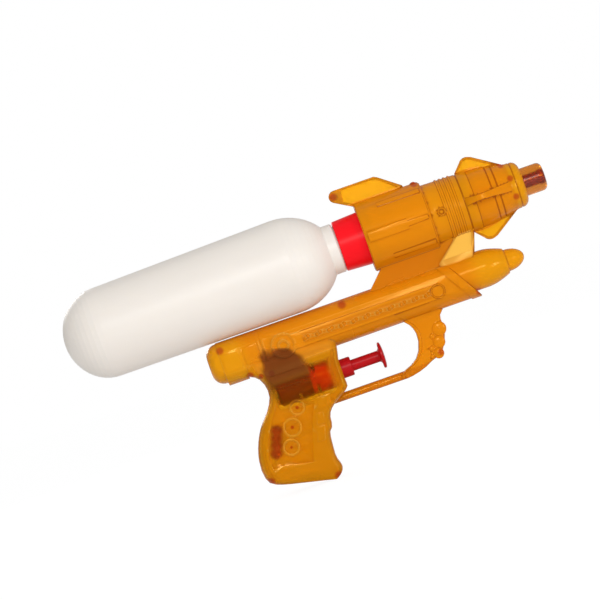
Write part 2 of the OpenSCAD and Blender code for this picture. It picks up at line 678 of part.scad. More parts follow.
// Small posts above the pump as [x, height, start in Y, end in Y]; the last one stops short of the inlet tower.
post_small_r = 1.9;
posts = [[-52.2, barrel_z - barrel_r + post_small_r, 0, 4.6], [-46.7, 70.8, 0, 8],
    [-39.2, 70.2, tower_r - 1.4, barrel_half_w - wall / 2]];
post_low = [-52.2, 25.4];
post_high = [-47.8, 37.4];
post_r = 3.2;

// Solid posts of one half of the grip: a long one at its back and three small ones above the pump.
module grip_posts() {
    depth = grip_half_w - wall / 2;
    lean = atan2(post_high[1] - post_low[1], post_high[0] - post_low[0]);
    plate(concat(
        arc(post_high, post_r, post_r, lean - 90, lean + 90, 8),
        arc(post_low, post_r, post_r, lean + 90, lean + 270, 8)), 0, depth);
    for (p = posts)
        rod_y(post_small_r, p, p[2], p[3]);
}

// Cross walls that carry the tubes, the nozzle's flange and the cap.
module inner_ribs() {
    difference() {
        union() {
            for (x = [-8, 18, 40])
                barrel_tube(barrel_r - wall / 2, barrel_half_w - wall / 2, x, x + 1.6);
            rod_x(mid_front_r - 1, cone_x - 6, cone_x - 4.4, bore_z);
            rod_x(cone_tip_r - wall / 2, collar_x - 1.6, collar_x - face_fit, bore_z);
        }
        rod_x(tube_r + slide_fit, -20, 60, supply_z);
        rod_x(tube_r + slide_fit, -20, 60, delivery_z);
        rod_x(tube_r + slide_fit, cone_x - 10, collar_x + 10, bore_z);
    }
    difference() {
        rod_x(rear_r - wall / 2, cap_front + face_fit, cap_front + face_fit + 1.6, bore_z);
        rod_x(cap_flange_r - 2.6, cap_front - 1, cap_front + 4, bore_z);
    }
    difference() {
        union() {
            box([pump_rear - face_fit - 1.6, pump_rear - face_fit], [0, grip_half_w - wall - 0.3],
                [pump_z - 8, pump_z + 8]);
            box([gland_rear + 2.4, gland_rear + 4], [0, grip_half_w - wall / 2], [pump_z - 11, pump_z + 11]);
            box([pump_rear + 12, pump_rear + 13.6], [0, grip_half_w - wall / 2], [pump_z - 13, pump_z - 5]);
        }
        rod_x(gland_r + slide_fit, gland_rear, block_face, pump_z);
        rod_x(pump_r + slide_fit, pump_rear - face_fit, gland_rear, pump_z);
    }
}

// One half shell, on the side of positive Y, without pins.
module half_shell() {
    intersection() {
        union() {
            difference() {
                union() {
                    housing_form();
                    rear_fin();
                    for (a = [0, -90, 180])
                        translate([0, 0, bore_z])
                            rotate([a, 0, 0])
                            translate([0, 0, -bore_z])
                            front_fin();
                    housing_relief();
                    nose_form();
                    barrel_form();
                    barrel_relief();
                    pylon_form();
                    grip_form(0);
                    guard_form();
                    grip_pads();
                    rod_y(boss_r, step_pin, 0, step_pin[2]);
                }
                housing_hollow();
                nose_hollow();
                barrel_hollow();
                pylon_hollow();
                grip_form(wall);
                grip_panel_cut();
                block_cut();
                rod_x(cap_front_r + slide_fit, housing_x - 5, housing_x + wall + 1, bore_z);
                rod_x(nozzle_neck_r + slide_fit, collar_x, muzzle_x + 1, bore_z);
                rod_x(gland_nose_r + slide_fit, block_face - 1, block_face + wall + 1, pump_z);
            }
            grip_rings();
            inner_ribs();
            for (p = pins)
                if (p[2] > 0)
                    rod_y(boss_r, p, 0, p[2]);
            grip_posts();
        }
        box([barrel_rear - 20, nozzle_end + 20], [0, 60], [-10, bore_z + 60]);
    }
}

module left_shell() {
    color(amber) {
        half_shell();
        for (p = pins)
            rod_y(pin_r, p, -pin_len, 0.6);
    }
}

module right_shell() {
    color(amber)
        difference() {
            mirror([0, 1, 0])
                half_shell();
            for (p = pins)
                rod_y(pin_r + push_fit, p, -pin_len - face_fit, 1);
        }
}

// Places its children on the bottle's drooping axis, with the origin on the cap's seat.
module on_bottle_axis() {
    translate([seat_x, 0, bore_z])
        rotate([0, -droop, 0])
        children();
}

lip_x = -seal_t - 0.01;
mouth_r = neck_r - bottle_wall - 0.2;
bead_x = cap_rear - bead_play - seat_x;
shoulder_x = bead_x - bead_len;
rear_x = lip_x - bottle_len;
shoulder_len = 31;
shoulder_turn = asin(bead_r / bottle_r);
belly_x = shoulder_x - shoulder_len * cos(shoulder_turn);

// Bottle profile as [x, radius], moved in by the given amount.
function bottle_profile(t) = concat(
    [[rear_x + t, 0]],
    arc([rear_x + dome_len, 0], dome_len - t, bottle_rear_r - t, 172, 90, 11),
    arc([belly_x, 0], shoulder_len - t, bottle_r - t, 90, shoulder_turn, 9));

module bottle() {
    color([0.93, 0.9, 0.87])
        on_bottle_axis()
        difference() {
            turned(concat(bottle_profile(0),
                [[bead_x - 0.8, bead_r], [bead_x, bead_r - 0.8], [bead_x, neck_r]],
                [[lip_x - 0.6, neck_r], [lip_x, neck_r - 0.6], [lip_x, 0]]), 0);
            turned(concat(bottle_profile(bottle_wall),
                [[bead_x, mouth_r], [lip_x + 1, mouth_r], [lip_x + 1, 0]]), 0);
        }
}

module neck_seal() {
    color([0.85, 0.85, 0.82])
        on_bottle_axis()
        difference() {
            rod_x(seal_r, -seal_t, 0, 0);
            rod_x(tube_r + 1.5, -seal_t - 1, 1, 0);
        }
}

// Red collar with the bottle's thread inside, locked in the housing by its flange.
module bottle_cap() {
    color(red)
        difference() {
            union() {
                turned([[cap_rear, 0], [cap_rear, cap_rear_r - 0.4], [cap_rear + 0.4, cap_rear_r],
                    [housing_x - 1, cap_front_r], [cap_flange_x, cap_front_r], [cap_flange_x, cap_flange_r],
                    [cap_front, cap_flange_r], [cap_front, 0]], bore_z);
                rod_x(nipple_r, cap_front - 0.5, cap_front + nipple_len, bore_z);
            }
            difference() {
                rod_x(cap_bore_r, cap_rear - 1, cap_wall_x, bore_z);
                rod_x(nipple_r, cap_wall_x - nipple_len, cap_wall_x + 1, bore_z);
            }
            rod_x(passage_r, cap_rear - 1, cap_front + nipple_len + 1, bore_z);
        }
}

// Straight stretch of tube in the plane Y = 0, from p at the given angle from X toward Z.
module tube_run(p, angle, len) {
    translate([p[0], 0, p[1]])
        rotate([0, 90 - angle, 0])
        difference() {
            cylinder(r = tube_r, h = len);
            translate([0, 0, -1])
                cylinder(r = tube_bore_r, h = len + 2);
        }
}

// Bent stretch of tube round the centre c, from angle a0 through the given turn.
module tube_bend(c, bend, a0, turn) {
    translate([c[0], 0, c[1]])
        rotate([90, 0, 0])
        rotate([0, 0, a0])
        rotate_extrude(angle = turn)
        translate([bend, 0])
        difference() {
            circle(r = tube_r);
            circle(r = tube_bore_r);
        }
}

module supply_tube() {
    b = supply_bend;
    start = cap_front + 0.3;
    stop = inlet_x + tower_r + 0.3;
    color(milky) {
        tube_run([start, bore_z], 0, supply_x - b - start);
        tube_bend([supply_x - b, bore_z - b], b, 0, 90);
        tube_run([supply_x, supply_z + b], 90, bore_z - supply_z - 2 * b);
        tube_bend([supply_x - b, supply_z + b], b, 270, 90);
        tube_run([stop, supply_z], 0, supply_x - b - stop);
    }
}

jet_rear = collar_x + flange_t + 1.8;

module delivery_tube() {
    b = delivery_bend;
    start = outlet_x + tower_r + 0.3;
    color(milky) {
        tube_run([start, delivery_z], 0, delivery_x - b - start);
        tube_bend([delivery_x - b, delivery_z + b], b, 270, 90);
        tube_run([delivery_x, delivery_z + b], 90, bore_z - delivery_z - 2 * b);
        tube_bend([delivery_x + b, bore_z - b], b, 90, 90);
        tube_run([delivery_x + b, bore_z], 0, collar_x - 0.3 - delivery_x - b);
    }
}

dip_bend = 220;
dip_straight = 78;

module dip_tube() {
    start = cap_wall_x - 0.3;
    turn = (dip_len - dip_straight) / dip_bend * 180 / PI;
    color(milky) {
        tube_run([start - dip_straight, bore_z], 0, dip_straight);
        tube_bend([start - dip_straight, bore_z - dip_bend], dip_bend, 90, turn);
    }
}

// Pump body: bore, stem for the gland, and two valve towers that rise into the barrel.
module pump_cylinder() {
    color(dark)
        difference() {
            union() {
                turned([[pump_rear, 0], [pump_rear, pump_r - pump_chamfer],
                    [pump_rear + pump_chamfer, pump_r], [gland_rear - face_fit, pump_r],
                    [gland_rear - face_fit, 0]], pump_z);
                rod_x(stem_r, pump_rear + 2, gland_wall_x - face_fit, pump_z);
                translate([inlet_x, 0, pump_z])
                    cylinder(r = tower_r, h = inlet_top - pump_z);
                translate([outlet_x, 0, pump_z])
                    cylinder(r = tower_r, h = outlet_top - pump_z);
                box([inlet_x, outlet_x], [-wall, wall], [pump_z, min(inlet_top, outlet_top) - 0.6]);
            }
            rod_x(pump_bore_r, bore_end, block_face, pump_z);
            translate([inlet_x, 0, inlet_floor_z])
                cylinder(r = chamber_r, h = 40);
            translate([outlet_x, 0, outlet_seat_z])
                cylinder(r = chamber_r, h = 40);
            translate([inlet_x, 0, pump_z])
                cylinder(r = 1.3, h = 20);
            translate([outlet_x, 0, pump_z])
                cylinder(r = 1.3, h = 20);
            box([inlet_x - 0.5, inlet_x + 0.5], [0.4 - chamber_r, chamber_r - 0.4],
                [pump_z, inlet_floor_z + 1]);
        }
}

// Elbow that closes a tower at height z, with its nipple at nipple_z pointing to the muzzle.
module elbow(x, plug_z, top_z, nipple_z) {
    color(dark)
        difference() {
            union() {
                translate([x, 0, top_z + face_fit])
                    cylinder(r = tower_r, h = nipple_z + 2.4 - top_z - face_fit);
                translate([x, 0, nipple_z + 2.4])
                    cylinder(r1 = tower_r, r2 = tower_r - 0.8, h = 0.8);
                translate([x, 0, plug_z])
                    cylinder(r = chamber_r - push_fit, h = nipple_z - plug_z);
                rod_x(nipple_r, x, x + tower_r + nipple_len, nipple_z);
            }
            rod_x(passage_r, x, x + tower_r + nipple_len + 1, nipple_z);
            translate([x, 0, plug_z - 1])
                cylinder(r = 1.3, h = nipple_z - plug_z + 1);
        }
}

module inlet_elbow() {
    elbow(inlet_x, inlet_plug_z, inlet_top, supply_z);
}

module outlet_elbow() {
    elbow(outlet_x, outlet_plug_z, outlet_top, delivery_z);
}

module inlet_ball() {
    color("silver")
        translate([inlet_x, 0, inlet_ball_z])
        sphere(r = ball_r);
}

module outlet_ball() {
    color("silver")
        translate([outlet_x, 0, outlet_ball_z + 0.02])
        sphere(r = ball_r);
}

gland_seal_x = gland_face - 1.2;

// Red gland: sleeve over the cylinder's stem, front wall and nose through the trigger block.
module pump_gland() {
    color(red)
        difference() {
            union() {
                turned([[gland_rear, 0], [gland_rear, gland_r], [gland_face - pump_chamfer, gland_r],
                    [gland_face, gland_r - pump_chamfer], [gland_face, 0]], pump_z);
                turned([[gland_face - 1, 0], [gland_face - 1, gland_nose_r], [nose_front - 0.5, gland_nose_r],
                    [nose_front, gland_nose_r - 0.5], [nose_front, 0]], pump_z);
            }
            rod_x(stem_r + push_fit, gland_rear - 1, gland_wall_x, pump_z);
            rod_x(rod_r + slide_fit, gland_rear, nose_front + 1, pump_z);
            rod_x(rod_r + seal_cord + slide_fit,
                gland_seal_x - cord_r - 0.1, gland_seal_x + cord_r + 0.1, pump_z);
        }
}

// Round seal about X with its inside radius.
module cord_ring(x, inside) {
    translate([x, 0, pump_z])
        rotate([0, 90, 0])
        rotate_extrude()
        translate([inside + cord_r, 0])
        circle(r = cord_r);
}

module gland_seal() {
    color([0.15, 0.15, 0.15])
        cord_ring(gland_seal_x, rod_r + slide_fit / 2);
}

// Red rod with its finger plate, whose fillet stays clear of the gland's nose at full travel.
module trigger_plunger() {
    root = stroke_rest - 2 * face_fit;
    color(red) {
        rod_x(spigot_r, piston_rear + 0.6, piston_front + 1, pump_z);
        rod_x(rod_r, piston_front + face_fit, plate_x, pump_z);
        turned(concat(
            [[plate_x - root, 0], [plate_x - root, rod_r], [plate_x - root / 2, rod_r + 0.4]],
            [[plate_x, rod_r + 1.6]],
            [[plate_x, plate_r - 0.4], [plate_x + 0.4, plate_r], [plate_x + plate_t - 0.9, plate_r]],
            arc([plate_x + plate_t - 0.9, 0], 0.9, plate_r - 0.3, 88, 0, 6)), pump_z);
    }
}

piston_seal_x = (piston_front + piston_rear) / 2;
piston_seal_in = pump_bore_r - slide_fit / 2 - seal_cord;

module piston() {
    color([0.75, 0.72, 0.66])
        difference() {
            rod_x(pump_bore_r - 0.15, piston_rear, piston_front, pump_z);
            rod_x(spigot_r + push_fit, piston_rear + 0.5, piston_front + 1, pump_z);
            difference() {
                rod_x(pump_bore_r + 1, piston_seal_x - cord_r - 0.1, piston_seal_x + cord_r + 0.1, pump_z);
                rod_x(piston_seal_in - slide_fit / 2, piston_rear, piston_front, pump_z);
            }
        }
}

module piston_seal() {
    color([0.15, 0.15, 0.15])
        cord_ring(piston_seal_x, piston_seal_in);
}

// Helical return spring between the bore's end and the piston.
module return_spring() {
    rings_per_turn = 8;
    sides = 6;
    n = spring_turns * rings_per_turn;
    x0 = bore_end + wire_d / 2 + face_fit;
    run = piston_rear - bore_end - wire_d - 2 * face_fit;
    color("gainsboro")
        loft([for (i = [0:n]) let (a = 360 * i / rings_per_turn)
            [for (j = [0:sides - 1]) let (b = 360 * j / sides, r = spring_r + wire_d / 2 * cos(b))
                [x0 + run * i / n + wire_d / 2 * sin(b), r * sin(a), pump_z + r * cos(a)]]]);
}

// Clear amber nozzle tip, held by its flange inside the collar.
module nozzle_tip() {
    color([0.9, 0.6, 0.15, 0.6])
        difference() {
            turned(concat(
                [[collar_x + face_fit, 0], [collar_x + face_fit, flange_r]],
                [[collar_x + flange_t - face_fit, flange_r], [collar_x + flange_t - face_fit, nozzle_neck_r]],
                [[muzzle_x + face_fit, nozzle_neck_r], [muzzle_x + face_fit, nozzle_r]],
                arc([nozzle_end - 3, nozzle_r - 3], 3, 3, 90, 0, 6), [[nozzle_end, 0]]), bore_z);
            rod_x(jet_r + push_fit, jet_rear, nozzle_end + 1, bore_z);
            rod_x(jet_flange_r + push_fit, nozzle_end - 3.8, nozzle_end + 1, bore_z);
            rod_x(nipple_r + slide_fit, collar_x - 1, jet_rear + 1, bore_z);
        }
}

module nozzle_jet() {
    color(dark)
        difference() {
            union() {
                rod_x(jet_r, jet_rear + face_fit, nozzle_end - 2, bore_z);
                rod_x(jet_flange_r, nozzle_end - 3.8 + face_fit, nozzle_end - 1.4, bore_z);
                rod_x(nipple_r, collar_x - nipple_len, jet_rear + 1, bore_z);
            }
            rod_x(passage_r, collar_x - nipple_len - 1, nozzle_end - 5, bore_z);
            rod_x(jet_hole_r, nozzle_end - 6, nozzle_end + 1, bore_z);
        }
}

right_shell();
left_shell();
bottle();
bottle_cap();
neck_seal();
dip_tube();
supply_tube();
delivery_tube();
pump_cylinder();
pump_gland();
gland_seal();
trigger_plunger();
piston();
piston_seal();
return_spring();
inlet_elbow();
inlet_ball();
outlet_elbow();
outlet_ball();
nozzle_tip();
nozzle_jet();
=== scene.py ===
import math

import bmesh
import bpy
from mathutils import Matrix, Vector


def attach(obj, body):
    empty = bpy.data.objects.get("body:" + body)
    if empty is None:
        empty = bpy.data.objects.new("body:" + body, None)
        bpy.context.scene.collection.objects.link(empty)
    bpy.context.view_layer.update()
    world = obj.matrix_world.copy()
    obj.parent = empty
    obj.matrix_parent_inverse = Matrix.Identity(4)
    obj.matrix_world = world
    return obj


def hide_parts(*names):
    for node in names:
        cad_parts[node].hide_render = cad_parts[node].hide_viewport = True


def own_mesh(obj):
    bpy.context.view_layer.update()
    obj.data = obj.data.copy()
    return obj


# The squirter stands on the toe of its grip, muzzle to +X, and the two half shells meet at y = 0.
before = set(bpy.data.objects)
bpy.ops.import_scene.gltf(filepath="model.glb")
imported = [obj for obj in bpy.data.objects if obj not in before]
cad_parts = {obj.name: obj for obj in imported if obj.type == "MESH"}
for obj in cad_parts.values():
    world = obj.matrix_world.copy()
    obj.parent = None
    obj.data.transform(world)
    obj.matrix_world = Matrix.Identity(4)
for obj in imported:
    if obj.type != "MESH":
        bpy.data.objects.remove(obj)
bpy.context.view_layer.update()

# Studio
# The camera looks square at the right-hand side from a long way off, rolled so that the muzzle points up.
# A pale floor and a white surround give soft light, and two lamps in front and one behind give highlights.
mm = 0.001
VIEW_CENTRE = Vector((-10.15 * mm, 0.0, 104.4 * mm))
VIEW_WIDTH = 348 * mm
VIEW_ROLL = math.radians(19.3)
scene = bpy.context.scene
camera = bpy.data.objects.new("camera", bpy.data.cameras.new("camera"))
scene.collection.objects.link(camera)
camera.data.lens = 200
camera.data.sensor_width = 36
camera_distance = VIEW_WIDTH * camera.data.lens / camera.data.sensor_width
camera.location = VIEW_CENTRE - Vector((0, camera_distance, 0))
camera.rotation_euler = (math.radians(90), VIEW_ROLL, 0)
camera.data.clip_start = 0.05
camera.data.clip_end = 60
scene.camera = camera
scene.view_settings.view_transform = "Standard"


def new_material(name):
    material = bpy.data.materials.new(name)
    material.use_nodes = True
    return material, material.node_tree, material.node_tree.nodes["Principled BSDF"]


def shown_and_mirrored(tree):
    """Masks of rays that show the surround, straight or through clear plastic, and of mirrored rays."""
    path = tree.nodes.new("ShaderNodeLightPath")
    shown = tree.nodes.new("ShaderNodeMath")
    shown.operation = "MAXIMUM"
    tree.links.new(path.outputs["Is Camera Ray"], shown.inputs[0])
    tree.links.new(path.outputs["Is Transmission Ray"], shown.inputs[1])
    return shown.outputs[0], path.outputs["Is Glossy Ray"]


WHITE = (1.0, 1.0, 1.0, 1.0)
SURROUND_LIGHT = 0.67
SURROUND_MIRRORED = 0.3
SURROUND_SHOWN = 1.0
world = bpy.data.worlds.new("surround")
scene.world = world
world.use_nodes = True
sky = world.node_tree
sky_light = sky.nodes["Background"]
sky_light.inputs["Color"].default_value = WHITE
shown, mirrored = shown_and_mirrored(sky)
light_strength = sky.nodes.new("ShaderNodeMapRange")
light_strength.inputs["To Min"].default_value = SURROUND_LIGHT
light_strength.inputs["To Max"].default_value = SURROUND_MIRRORED
sky.links.new(mirrored, light_strength.inputs["Value"])
sky_strength = sky.nodes.new("ShaderNodeMapRange")
sky_strength.inputs["To Max"].default_value = SURROUND_SHOWN
sky.links.new(light_strength.outputs["Result"], sky_strength.inputs["To Min"])
sky.links.new(shown, sky_strength.inputs["Value"])
sky.links.new(sky_strength.outputs["Result"], sky_light.inputs["Strength"])

FLOOR_SIZE = 6.0
FLOOR_COLOUR = (0.86, 0.86, 0.86, 1.0)
FLOOR_GLOW = 1.07
FLOOR_GLOW_SHARE = 0.86
floor_mesh = bmesh.new()
bmesh.ops.create_grid(floor_mesh, x_segments=1, y_segments=1, size=FLOOR_SIZE)
floor_data = bpy.data.meshes.new("floor")
floor_mesh.to_mesh(floor_data)
floor_mesh.free()
floor = bpy.data.objects.new("floor", floor_data)
scene.collection.objects.link(floor)
floor_finish, tree, paper = new_material("pale_floor")
paper.inputs["Base Color"].default_value = FLOOR_COLOUR
paper.inputs["Roughness"].default_value = 0.9
glow = tree.nodes.new("ShaderNodeEmission")
glow.inputs["Color"].default_value = WHITE
glow.inputs["Strength"].default_value = FLOOR_GLOW
sheet = tree.nodes.new("ShaderNodeMixShader")
share = tree.nodes.new("ShaderNodeMapRange")
share.inputs["To Max"].default_value = FLOOR_GLOW_SHARE
tree.links.new(shown_and_mirrored(tree)[0], share.inputs["Value"])
tree.links.new(share.outputs["Result"], sheet.inputs["Fac"])
tree.links.new(paper.outputs["BSDF"], sheet.inputs[1])
tree.links.new(glow.outputs["Emission"], sheet.inputs[2])
tree.links.new(sheet.outputs["Shader"], tree.nodes["Material Output"].inputs["Surface"])
floor_data.materials.append(floor_finish)

LAMP_TARGET = Vector((0, 0, 0.1))


def lamp(name, place, size, power):
    light = bpy.data.lights.new(name, "AREA")
    light.shape = "DISK"
    light.size = size
    light.energy = power
    item = bpy.data.objects.new(name, light)
    scene.collection.objects.link(item)
    item.location = place
    item.rotation_euler = (LAMP_TARGET - Vector(place)).to_track_quat("-Z", "Y").to_euler()


lamp("lamp_front", place=(0.06, -1.34, 0.48), size=0.3, power=5.2)
lamp("lamp_side", place=(0.75, -1.0, 0.16), size=0.3, power=2.6)
lamp("lamp_back", place=(-0.5, 1.3, 0.62), size=0.5, power=3.6)


# Half shells
# Two mouldings of amber plastic, closed on each other at the middle plane by pins in sockets. The grip is
# clear and shows the pump; the housing and barrel are cloudier, thin fins glow and thick pins look red.
def socket(group, name, kind, direction):
    group.interface.new_socket(name=name, in_out=direction, socket_type=kind)


def math_node(tree, operation, *values):
    step = tree.nodes.new("ShaderNodeMath")
    step.operation = operation
    for slot, value in zip(step.inputs, values):
        if isinstance(value, (int, float)):
            slot.default_value = value
        else:
            tree.links.new(value, slot)
    return step.outputs[0]


def product(tree, *masks):
    """The mask of what all these masks share."""
    whole = masks[0]
    for mask in masks[1:]:
        whole = math_node(tree, "MULTIPLY", whole, mask)
    return whole


def ramp(tree, value, span, to_low=0.0, to_high=1.0):
    """A smooth step between two levels as a value passes the start and the end of a span."""
    step = tree.nodes.new("ShaderNodeMapRange")
    step.interpolation_type = "SMOOTHSTEP"
    step.inputs["From Min"].default_value = span[0]
    step.inputs["From Max"].default_value = span[1]
    step.inputs["To Min"].default_value = to_low
    step.inputs["To Max"].default_value = to_high
    tree.links.new(value, step.inputs["Value"])
    return step.outputs["Result"]


def ramp_mm(tree, place, span, to_low=0.0, to_high=1.0):
    """A ramp over a stretch of the object, with its start and end in millimetres."""
    return ramp(tree, place, (span[0] * mm, span[1] * mm), to_low, to_high)


def tinted(tree, factor, first, second):
    """A colour that turns from the first to the second one as the factor rises."""
    blend = tree.nodes.new("ShaderNodeMix")
    blend.data_type = "RGBA"
    tree.links.new(factor, blend.inputs["Factor"])
    for slot, colour in (("A", first), ("B", second)):
        if isinstance(colour, tuple):
            blend.inputs[slot].default_value = (*colour, 1.0)
        else:
            tree.links.new(colour, blend.inputs[slot])
    return blend.outputs["Result"]


# Faint flow marks and a fine skin, which every plastic, rubber and metal here has at its own strength.
FLOW_SCALE = (18, 60, 60)
ROUGHNESS_DRIFT = 0.12
NOISE_MIDDLE = 0.5
skin_group = bpy.data.node_groups.new("moulded_skin", "ShaderNodeTree")
socket(skin_group, "Colour", "NodeSocketColor", "INPUT")
socket(skin_group, "Flow", "NodeSocketFloat", "INPUT")
socket(skin_group, "Roughness", "NodeSocketFloat", "INPUT")
socket(skin_group, "Grain", "NodeSocketFloat", "INPUT")
socket(skin_group, "Colour", "NodeSocketColor", "OUTPUT")
socket(skin_group, "Roughness", "NodeSocketFloat", "OUTPUT")
socket(skin_group, "Height", "NodeSocketFloat", "OUTPUT")
given = skin_group.nodes.new("NodeGroupInput")
result = skin_group.nodes.new("NodeGroupOutput")
place = skin_group.nodes.new("ShaderNodeTexCoord")
stretch = skin_group.nodes.new("ShaderNodeMapping")
stretch.inputs["Scale"].default_value = FLOW_SCALE
skin_group.links.new(place.outputs["Object"], stretch.inputs["Vector"])
swirl = skin_group.nodes.new("ShaderNodeTexNoise")
swirl.inputs["Scale"].default_value = 1.0
swirl.inputs["Detail"].default_value = 4.0
skin_group.links.new(stretch.outputs["Vector"], swirl.inputs["Vector"])
grain = skin_group.nodes.new("ShaderNodeTexNoise")
grain.inputs["Detail"].default_value = 2.0
skin_group.links.new(place.outputs["Object"], grain.inputs["Vector"])
skin_group.links.new(given.outputs["Grain"], grain.inputs["Scale"])
drift = math_node(skin_group, "SUBTRACT", swirl.outputs["Fac"], NOISE_MIDDLE)
tone = math_node(skin_group, "MULTIPLY_ADD", drift, given.outputs["Flow"], 1.0)
shaded = skin_group.nodes.new("ShaderNodeVectorMath")
shaded.operation = "SCALE"
skin_group.links.new(given.outputs["Colour"], shaded.inputs[0])
skin_group.links.new(tone, shaded.inputs["Scale"])
skin_group.links.new(shaded.outputs["Vector"], result.inputs["Colour"])
rubbed = math_node(skin_group, "MULTIPLY_ADD", drift, ROUGHNESS_DRIFT, given.outputs["Roughness"])
skin_group.links.new(rubbed, result.inputs["Roughness"])
skin_group.links.new(grain.outputs["Fac"], result.inputs["Height"])

# Rounded edges of a moulding, and a mask of where they are: how far the rounded face turns from the flat one.
EDGE_TURN = (0.995, 0.78)
edge_group = bpy.data.node_groups.new("moulded_edge", "ShaderNodeTree")
socket(edge_group, "Radius", "NodeSocketFloat", "INPUT")
socket(edge_group, "Edge", "NodeSocketFloat", "OUTPUT")
socket(edge_group, "Normal", "NodeSocketVector", "OUTPUT")
given = edge_group.nodes.new("NodeGroupInput")
result = edge_group.nodes.new("NodeGroupOutput")
rounded = edge_group.nodes.new("ShaderNodeBevel")
rounded.samples = 6
edge_group.links.new(given.outputs["Radius"], rounded.inputs["Radius"])
surface = edge_group.nodes.new("ShaderNodeNewGeometry")
turn = edge_group.nodes.new("ShaderNodeVectorMath")
turn.operation = "DOT_PRODUCT"
edge_group.links.new(rounded.outputs["Normal"], turn.inputs[0])
edge_group.links.new(surface.outputs["True Normal"], turn.inputs[1])
edge_group.links.new(ramp(edge_group, turn.outputs["Value"], EDGE_TURN), result.inputs["Edge"])
edge_group.links.new(rounded.outputs["Normal"], result.inputs["Normal"])

GRAIN_DEPTH = 0.2 * mm


def moulded(name, colour, flow, roughness, grain_scale, bump):
    material, tree, shader = new_material(name)
    skin = tree.nodes.new("ShaderNodeGroup")
    skin.name = "skin"
    skin.node_tree = skin_group
    skin.inputs["Colour"].default_value = (*colour, 1.0)
    skin.inputs["Flow"].default_value = flow
    skin.inputs["Roughness"].default_value = roughness
    skin.inputs["Grain"].default_value = grain_scale
    relief = tree.nodes.new("ShaderNodeBump")
    relief.name = "relief"
    relief.inputs["Strength"].default_value = bump
    relief.inputs["Distance"].default_value = GRAIN_DEPTH
    tree.links.new(skin.outputs["Colour"], shader.inputs["Base Color"])
    tree.links.new(skin.outputs["Roughness"], shader.inputs["Roughness"])
    tree.links.new(skin.outputs["Height"], relief.inputs["Height"])
    tree.links.new(relief.outputs["Normal"], shader.inputs["Normal"])
    return material, shader


def lit_through(tree, clear, colour):
    """Clear plastic that throws a tinted shadow, so that the lamps reach what is inside."""
    lamp_way = tree.nodes.new("ShaderNodeBsdfTransparent")
    lamp_way.inputs["Color"].default_value = (*colour, 1.0)
    path = tree.nodes.new("ShaderNodeLightPath")
    lit = tree.nodes.new("ShaderNodeMixShader")
    tree.links.new(path.outputs["Is Shadow Ray"], lit.inputs["Fac"])
    tree.links.new(clear.outputs["BSDF"], lit.inputs[1])
    tree.links.new(lamp_way.outputs["BSDF"], lit.inputs[2])
    return lit.outputs["Shader"]


# Amber as it looks in thin, thick, cloudy and clear places, with painted shade and glints along edges and
# painted highlights and sheen in some zones.
AMBER = (0.88, 0.295, 0.004)
AMBER_THIN_AND_HIGHLIGHT = (0.98, 0.56, 0.008)
AMBER_PANEL_SHEEN = (0.98, 0.54, 0.08)
AMBER_EDGE_SHADE_AND_RIM = (0.40, 0.075, 0.003)
AMBER_RIM = (0.62, 0.15, 0.003)
AMBER_THICK = (0.56, 0.045, 0.008)
AMBER_CLEAR = (0.94, 0.57, 0.06)
AMBER_GRIP = (0.74, 0.29, 0.003)
AMBER_WINDOW = (0.92, 0.64, 0.05)
AMBER_GLINT = (1.0, 0.66, 0.12)
AMBER_LIT = (1.0, 0.78, 0.26)
AMBER_FIN = (0.93, 0.7, 0.02)
AMBER_DARK_PATCH = (0.62, 0.12, 0.02)
AMBER_SHADE = (0.17, 0.024, 0.009)
AMBER_SHINE = (1.0, 0.6, 0.17)
AMBER_SPECULAR = 0.3
EDGE_RADIUS = 0.7 * mm
WAVE_SCALE = 130.0
WAVE_DEPTH = 0.3 * mm
amber, cloudy = moulded(
    "amber_plastic", colour=AMBER, flow=0.18, roughness=0.15, grain_scale=700.0, bump=0.03)
tree = amber.node_tree
cloudy.inputs["Specular IOR Level"].default_value = AMBER_SPECULAR
cloudy.inputs["Specular Tint"].default_value = (*AMBER_SHINE, 1.0)
skin = tree.nodes["skin"]
relief = tree.nodes["relief"]
edges = tree.nodes.new("ShaderNodeGroup")
edges.node_tree = edge_group
edges.inputs["Radius"].default_value = EDGE_RADIUS
place = tree.nodes.new("ShaderNodeTexCoord")
waves = tree.nodes.new("ShaderNodeTexNoise")
waves.inputs["Scale"].default_value = WAVE_SCALE
waves.inputs["Detail"].default_value = 0.0
tree.links.new(place.outputs["Object"], waves.inputs["Vector"])
sink_marks = tree.nodes.new("ShaderNodeBump")
sink_marks.inputs["Strength"].default_value = 0.4
sink_marks.inputs["Distance"].default_value = WAVE_DEPTH
tree.links.new(edges.outputs["Normal"], sink_marks.inputs["Normal"])
tree.links.new(sink_marks.outputs["Normal"], relief.inputs["Normal"])
parts = tree.nodes.new("ShaderNodeSeparateXYZ")
tree.links.new(place.outputs["Object"], parts.inputs["Vector"])
along = parts.outputs["X"]
up = parts.outputs["Z"]
across = math_node(tree, "ABSOLUTE", parts.outputs["Y"])
